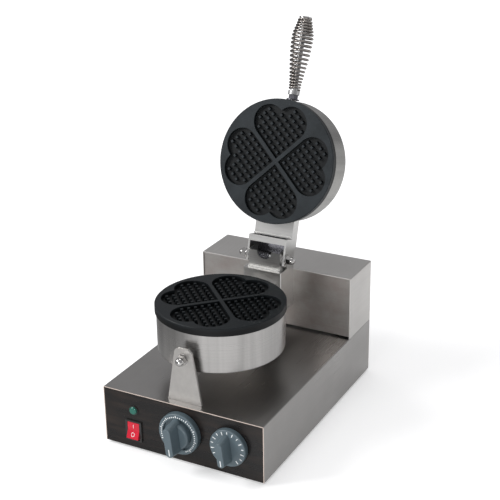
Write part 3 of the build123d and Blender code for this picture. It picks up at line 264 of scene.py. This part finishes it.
def casting(name, colour, roughness, turn, shift, face, depth):
    """Coated casting: a fine pebbled skin, with shade painted darker where it lies behind its face.

    The turn and the shift bring the plate's axis to Z, face is its face's height there, and depth
    is how far the recesses lie from it, signed.
    """
    paint = Paint(name, colour, roughness, specular_ior_level=0.22)
    skin = paint.noise(paint.place((1400.0, 1400.0, 1400.0)), 3.0, 0.6)
    patch = paint.noise(paint.place((40.0, 40.0, 40.0)), 4.0, 0.6)
    shade = paint.blend(paint.ramp(patch, 0.35, 0.7, 0.0, 1.0), tinted(colour, 0.85), tinted(colour, 1.25))
    split = paint.node("ShaderNodeSeparateXYZ")
    paint.link(paint.place((1.0, 1.0, 1.0), turn, shift), split.inputs[0])
    # Painted shade: darker towards the floor of the recesses, where shade falls.
    recess_shade = paint.ramp(split.outputs[2], face + 0.12 * depth, face + 0.9 * depth, 0.0, 1.0)
    paint.colour(paint.blend(recess_shade, shade, tinted(colour, 0.3)))
    paint.rough(paint.ramp(patch, 0.3, 0.7, roughness - 0.06, roughness + 0.08))
    paint.bump(skin, 0.4, 0.0001)
    return paint.material


def moulding(name, colour, roughness, skin=900.0, strength=0.15, **sockets):
    """Moulded plastic or rubber with a fine skin and slightly uneven gloss."""
    paint = Paint(name, colour, roughness, **sockets)
    grain = paint.noise(paint.place((skin, skin, skin)), 2.0, 0.5)
    cloud = paint.noise(paint.place((60.0, 60.0, 60.0)), 3.0, 0.5)
    shades = tinted(colour, 0.92), tinted(colour, 1.08)
    paint.colour(paint.blend(paint.ramp(cloud, 0.3, 0.7, 0.0, 1.0), *shades))
    paint.rough(paint.ramp(cloud, 0.3, 0.7, roughness - 0.04, roughness + 0.04))
    paint.bump(grain, strength, 0.00005)
    return paint.material


def film(name, colour, streak_colour, roughness):
    """Dark film: lengthwise streaks, as if wiped, and slightly uneven gloss."""
    paint = Paint(name, colour, roughness, specular_ior_level=0.3)
    wipe = paint.noise(paint.place((14.0, 60.0, 90.0)), 4.0, 0.6)
    grain = paint.noise(paint.place((500.0, 500.0, 500.0)), 2.0, 0.5)
    paint.colour(paint.blend(paint.ramp(wipe, 0.45, 0.75, 0.0, 0.8), colour, streak_colour))
    paint.rough(paint.ramp(wipe, 0.3, 0.7, roughness - 0.05, roughness + 0.06))
    paint.bump(grain, 0.05, 0.00005)
    return paint.material


def machined(name, colour, roughness, metallic=1.0, skin=700.0, patch=0.12):
    """Machined, plated or oiled metal with fine scratches and dull patches."""
    paint = Paint(name, colour, roughness, metallic=metallic)
    scratch = paint.noise(paint.place((skin, 0.15 * skin, skin)), 3.0, 0.6)
    cloud = paint.noise(paint.place((120.0, 120.0, 120.0)), 2.0, 0.5)
    shades = tinted(colour, 1 - patch), tinted(colour, 1 + patch)
    paint.colour(paint.blend(paint.ramp(cloud, 0.3, 0.7, 0.0, 1.0), *shades))
    paint.rough(paint.ramp(scratch, 0.3, 0.7, max(0.03, roughness - 0.05), roughness + 0.06))
    paint.bump(scratch, 0.15, 0.00004)
    return paint.material


def fibre(name, colour):
    """Soft ceramic fibre: woolly strands in a felted mass."""
    paint = Paint(name, colour, 0.95, sheen_weight=0.4)
    strands = paint.noise(paint.place((260.0, 1300.0, 500.0)), 5.0, 0.75)
    paint.colour(paint.blend(paint.ramp(strands, 0.3, 0.7, 0.0, 1.0), tinted(colour, 0.7), colour))
    paint.bump(strands, 0.8, 0.0006)
    return paint.material


LID_TURN = (OPEN_ANGLE, 0.0, 0.0)
LID_SHIFT = tuple(-HINGE)
LID_PLATE_FACE = PLATE_GAP + PLATE_Z - HINGE.z
UPRIGHT = (0.0, 0.0, 0.0)
UNMOVED = (0.0, 0.0, 0.0)

MATERIALS = {
    # cabinet_steel and box_steel carry a highlight painted on their faces that look to the front.
    "cabinet_steel": sheet_steel("cabinet_steel", (0.39, 0.38, 0.37), 0.30, edge_highlight=(0.62, 0.52, 0.46)),
    "box_steel": sheet_steel("box_steel", (0.60, 0.585, 0.565), 0.32, edge_highlight=(0.62, 0.60, 0.58)),
    # box_front_steel carries blotches painted in as reflections.
    "box_front_steel": sheet_steel("box_front_steel", (0.66, 0.63, 0.60), 0.34, reflection_blotch_share=0.6,
                                   reflection_blotch_colour=(0.47, 0.37, 0.35)),
    "drum_steel": turned_steel("drum_steel", (0.46, 0.45, 0.44), 0.30, UPRIGHT, UNMOVED),
    "lid_drum_steel": turned_steel("lid_drum_steel", (0.34, 0.335, 0.32), 0.30, LID_TURN, LID_SHIFT),
    "plain_steel": machined("plain_steel", (0.40, 0.40, 0.40), 0.38),
    "arm_steel": sheet_steel("arm_steel", (0.66, 0.655, 0.64), 0.34),
    "stay_steel": machined("stay_steel", (0.54, 0.525, 0.505), 0.42, patch=0.04),
    "bright_steel": machined("bright_steel", (0.52, 0.51, 0.50), 0.14),
    "coil_steel": machined("coil_steel", (0.27, 0.25, 0.235), 0.18),
    "spring_steel": machined("spring_steel", (0.09, 0.09, 0.10), 0.28),
    "cast_plate": casting("cast_plate", (0.006, 0.008, 0.0095), 0.46, UPRIGHT, UNMOVED,
                          PLATE_Z, -PLATE_RECESS),
    "lid_cast_plate": casting("lid_cast_plate", (0.016, 0.020, 0.023), 0.46, LID_TURN, LID_SHIFT,
                              LID_PLATE_FACE, PLATE_RECESS),
    "black_film": film("black_film", (0.010, 0.009, 0.009), (0.030, 0.021, 0.017), 0.28),
    "knob_plastic": moulding("knob_plastic", (0.083, 0.115, 0.133), 0.42),
    "mark_white": moulding("mark_white", (0.78, 0.80, 0.80), 0.5),
    "rocker_red": moulding("rocker_red", (0.55, 0.01, 0.03), 0.22, strength=0.05),
    "black_plastic": moulding("black_plastic", (0.02, 0.02, 0.02), 0.4),
    "lamp_green": moulding("lamp_green", (0.005, 0.11, 0.08), 0.12, strength=0.03, coat_weight=0.5),
    "foot_rubber": moulding("foot_rubber", (0.02, 0.02, 0.02), 0.8, strength=0.3),
    "ceramic": moulding("ceramic", (0.75, 0.72, 0.66), 0.2, strength=0.04),
    "ceramic_fibre": fibre("ceramic_fibre", (0.8, 0.78, 0.72)),
}
OWN_FINISH = {
    "rear_front_panel": "box_front_steel",
    "upper_drum": "lid_drum_steel",
    "front_stay": "stay_steel",
    "rear_cover": "box_steel",
    "lid_arm": "arm_steel",
    # The arm's cover takes the dark spring steel as painted shade inside the hinge opening.
    "lid_arm_cover": "spring_steel",
    "hinge_bracket": "arm_steel",
    "post": "arm_steel",
    "upper_plate": "lid_cast_plate",
    "handle_coil": "coil_steel",
}


def dress_nodes():
    """Give every CAD node its node material, through its object's material slots."""
    for name, piece in NODES.items():
        for slot in piece.material_slots:
            key = OWN_FINISH.get(name) or slot.material.name.split(".")[0]
            slot.link = "OBJECT"
            slot.material = MATERIALS[key]


# Printed marks
def mark(name, body, vertices, faces):
    """Thin printed mark that rides with a body."""
    mesh = bpy.data.meshes.new(name)
    mesh.from_pydata(vertices, [], faces)
    mesh.update()
    piece = bpy.data.objects.new(name, mesh)
    SCENE.collection.objects.link(piece)
    piece.data.materials.append(MATERIALS["mark_white"])
    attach(piece, body)
    return piece


class Marks:
    """Gathers raised print on a face that looks to the front, as one mesh."""

    def __init__(self, to_place):
        self.to_place = to_place
        self.vertices = []
        self.faces = []

    def outline(self, points, lift=PRINT_THICKNESS):
        """Solid print: a ring of points on the face and one a little above it."""
        first = len(self.vertices)
        count = len(points)
        self.vertices += [self.to_place(x, z, 0.0) for x, z in points]
        self.vertices += [self.to_place(x, z, lift) for x, z in points]
        self.faces.append([first + count + k for k in range(count)])
        for k in range(count):
            after = (k + 1) % count
            self.faces.append([first + k, first + after, first + count + after, first + count + k])

    def dot(self, x, z, radius, corners=16):
        angles = [2 * pi * k / corners for k in range(corners)]
        self.outline([(x + radius * cos(angle), z + radius * sin(angle)) for angle in angles])

    def stroke(self, x0, z0, x1, z1, width):
        """Straight stroke with square ends."""
        run = Vector((x1 - x0, z1 - z0))
        side = Vector((-run.y, run.x)).normalized() * width / 2
        a, b = Vector((x0, z0)), Vector((x1, z1))
        self.outline([tuple(a + side), tuple(a - side), tuple(b - side), tuple(b + side)])

    def loop(self, x, z, radius_x, radius_z, width, turns=24):
        """Closed oval line."""
        for k in range(turns):
            points = []
            for step, grow in ((k, 0), (k + 1, 0), (k + 1, 1), (k, 1)):
                angle = 2 * pi * step / turns
                across = (radius_x - grow * width) * cos(angle)
                upward = (radius_z - grow * width) * sin(angle)
                points.append((x + across, z + upward))
            self.outline(points)


def on_dial(centre, front):
    """Places a point of a dial's face: x and z from the dial's middle, lifted to the front."""
    return lambda x, z, lift: (centre.x + x, PANEL_Y - front - lift, centre.z + z)


def around(angle, radius):
    """Point at a clock angle from the top of a dial."""
    return radius * sin(angle), radius * cos(angle)


def print_timer():
    """Fine scale round the timer's ring, and a pointer on its grip."""
    marks = Marks(on_dial(TIMER, TIMER_RING_FRONT))
    for k in range(TIMER_SCALE_MARKS):
        angle = radians(TIMER_SCALE_START + TIMER_SCALE_STEP * k)
        if k % TIMER_LONG_MARK_EVERY == 0:
            marks.stroke(*around(angle, 0.0250), *around(angle, 0.0284), 0.0013)
        else:
            marks.dot(*around(angle, 0.0260), 0.0009)
    mark("timer_scale", "timer_dial", marks.vertices, marks.faces)
    pointer = Marks(on_dial(TIMER, TIMER_GRIP_FRONT))
    pointer.stroke(*around(POINTER_ANGLE, 0.0185), *around(POINTER_ANGLE, 0.0085), 0.0014)
    mark("timer_pointer", "timer_dial", pointer.vertices, pointer.faces)


def print_thermostat():
    """Ticks round the thermostat's skirt, and a pointer on its grip."""
    marks = Marks(on_dial(THERMO, THERMO_SKIRT_FRONT))
    for k in range(THERMO_SCALE_MARKS):
        angle = radians(THERMO_SCALE_START + THERMO_SCALE_STEP * k)
        inner = 0.0200 if k % 2 == 0 else 0.0215
        marks.stroke(*around(angle, inner), *around(angle, 0.0250), 0.0012)
    mark("thermostat_scale", "thermostat_dial", marks.vertices, marks.faces)
    pointer = Marks(on_dial(THERMO, THERMO_GRIP_FRONT))
    pointer.stroke(*around(POINTER_ANGLE, 0.0155), *around(POINTER_ANGLE, 0.0070), 0.0013)
    mark("thermostat_pointer", "thermostat_dial", pointer.vertices, pointer.faces)


def print_rocker():
    """On and off marks on the two faces of the rocker, whose upper end is pressed."""
    tilt_cos, tilt_sin = cos(ROCKER_TILT), sin(ROCKER_TILT)
    proud = SWITCH_FRAME_FRONT - ROCKER_HALF * tilt_sin + ROCKER_AXIS_DEPTH

    def place(x, z, lift):
        y = ROCKER_CROWN * (1 - abs(z) / ROCKER_HALF) - proud - lift
        turned_y, turned_z = y * tilt_cos - z * tilt_sin, y * tilt_sin + z * tilt_cos
        return ROCKER.x + x, ROCKER.y + turned_y, ROCKER.z + turned_z

    marks = Marks(place)
    marks.stroke(0.0, 0.0035, 0.0, 0.0088, 0.0007)
    marks.loop(0.0, -0.0060, 0.0027, 0.0031, 0.0006)
    mark("rocker_marks", "switch_rocker", marks.vertices, marks.faces)


# Floor, world and lights
def add_floor():
    """Pale floor with the shadow: white to the camera far out, and darker to the left in reflections."""
    mesh = bpy.data.meshes.new("floor")
    reach = 12.0
    corners = [(-reach, -reach, 0), (reach, -reach, 0), (reach, reach, 0), (-reach, reach, 0)]
    mesh.from_pydata(corners, [], [(0, 1, 2, 3)])
    floor = bpy.data.objects.new("floor", mesh)
    SCENE.collection.objects.link(floor)
    paint = Paint("floor_white", (0.86, 0.86, 0.86), 0.9, specular_ior_level=0.1)
    where = paint.place((1.0, 1.0, 1.0))
    paint.shader.inputs["Emission Color"].default_value = (1.0, 1.0, 1.0, 1.0)
    rays = paint.node("ShaderNodeLightPath")
    reflected = paint.math("MULTIPLY", rays.outputs["Is Glossy Ray"], 0.3)
    seen = paint.math("MAXIMUM", rays.outputs["Is Camera Ray"], reflected)
    distance = paint.node("ShaderNodeVectorMath", operation="LENGTH")
    paint.link(where, distance.inputs[0])
    glow = paint.ramp(distance.outputs["Value"], 0.35, 2.6, 0.36, 0.85)
    split = paint.node("ShaderNodeSeparateXYZ")
    paint.link(where, split.inputs[0])
    leftward = paint.ramp(split.outputs[0], -0.4, 0.1, 0.9, 0.0)
    dim = paint.math("MULTIPLY", rays.outputs["Is Glossy Ray"], leftward)
    glow = paint.math("MULTIPLY", glow, paint.math("SUBTRACT", 1.0, dim))
    paint.link(paint.math("MULTIPLY", seen, glow), paint.shader.inputs["Emission Strength"])
    paint.colour(paint.blend(dim, (0.86, 0.86, 0.86), (0.1, 0.1, 0.1)))
    mesh.materials.append(paint.material)


def add_world():
    """Soft even surroundings, white where the camera sees them."""
    world = bpy.data.worlds.new("studio")
    SCENE.world = world
    world.use_nodes = True
    tree = world.node_tree
    back = tree.nodes["Background"]
    rays = tree.nodes.new("ShaderNodeLightPath")
    mix = tree.nodes.new("ShaderNodeMix")
    mix.data_type = "RGBA"
    mix.inputs[7].default_value = (1.0, 1.0, 1.0, 1.0)
    tree.links.new(rays.outputs["Is Camera Ray"], mix.inputs[0])
    soft = tree.nodes.new("ShaderNodeMix")
    soft.data_type = "RGBA"
    soft.inputs[6].default_value = (0.46, 0.46, 0.47, 1.0)
    soft.inputs[7].default_value = (0.42, 0.42, 0.43, 1.0)
    tree.links.new(rays.outputs["Is Glossy Ray"], soft.inputs[0])
    tree.links.new(soft.outputs[2], mix.inputs[6])
    tree.links.new(mix.outputs[2], back.inputs["Color"])


def add_light(name, place, aim, width, height, power, colour=(1.0, 1.0, 1.0)):
    """Soft box at a place, aimed at a point."""
    data = bpy.data.lights.new(name, "AREA")
    data.shape = "RECTANGLE"
    data.size = width
    data.size_y = height
    data.energy = power
    data.color = colour
    light = bpy.data.objects.new(name, data)
    SCENE.collection.objects.link(light)
    light.location = place
    light.rotation_euler = (Vector(aim) - Vector(place)).to_track_quat("-Z", "Y").to_euler()


add_camera()
dress_nodes()
print_timer()
print_thermostat()
print_rocker()
add_floor()
add_world()
add_light("key_left", (-1.7, -1.2, 1.6), (0, 0, 0.2), 1.1, 1.1, 42)
add_light("front", (0.15, -2.0, 0.35), (0, 0, 0.15), 0.35, 0.8, 12)
add_light("right", (1.9, 0.7, 0.8), (0, 0, 0.2), 0.5, 1.0, 2.5)
add_light("top", (0.0, 0.4, 2.4), (0, 0, 0.2), 1.6, 1.2, 12)
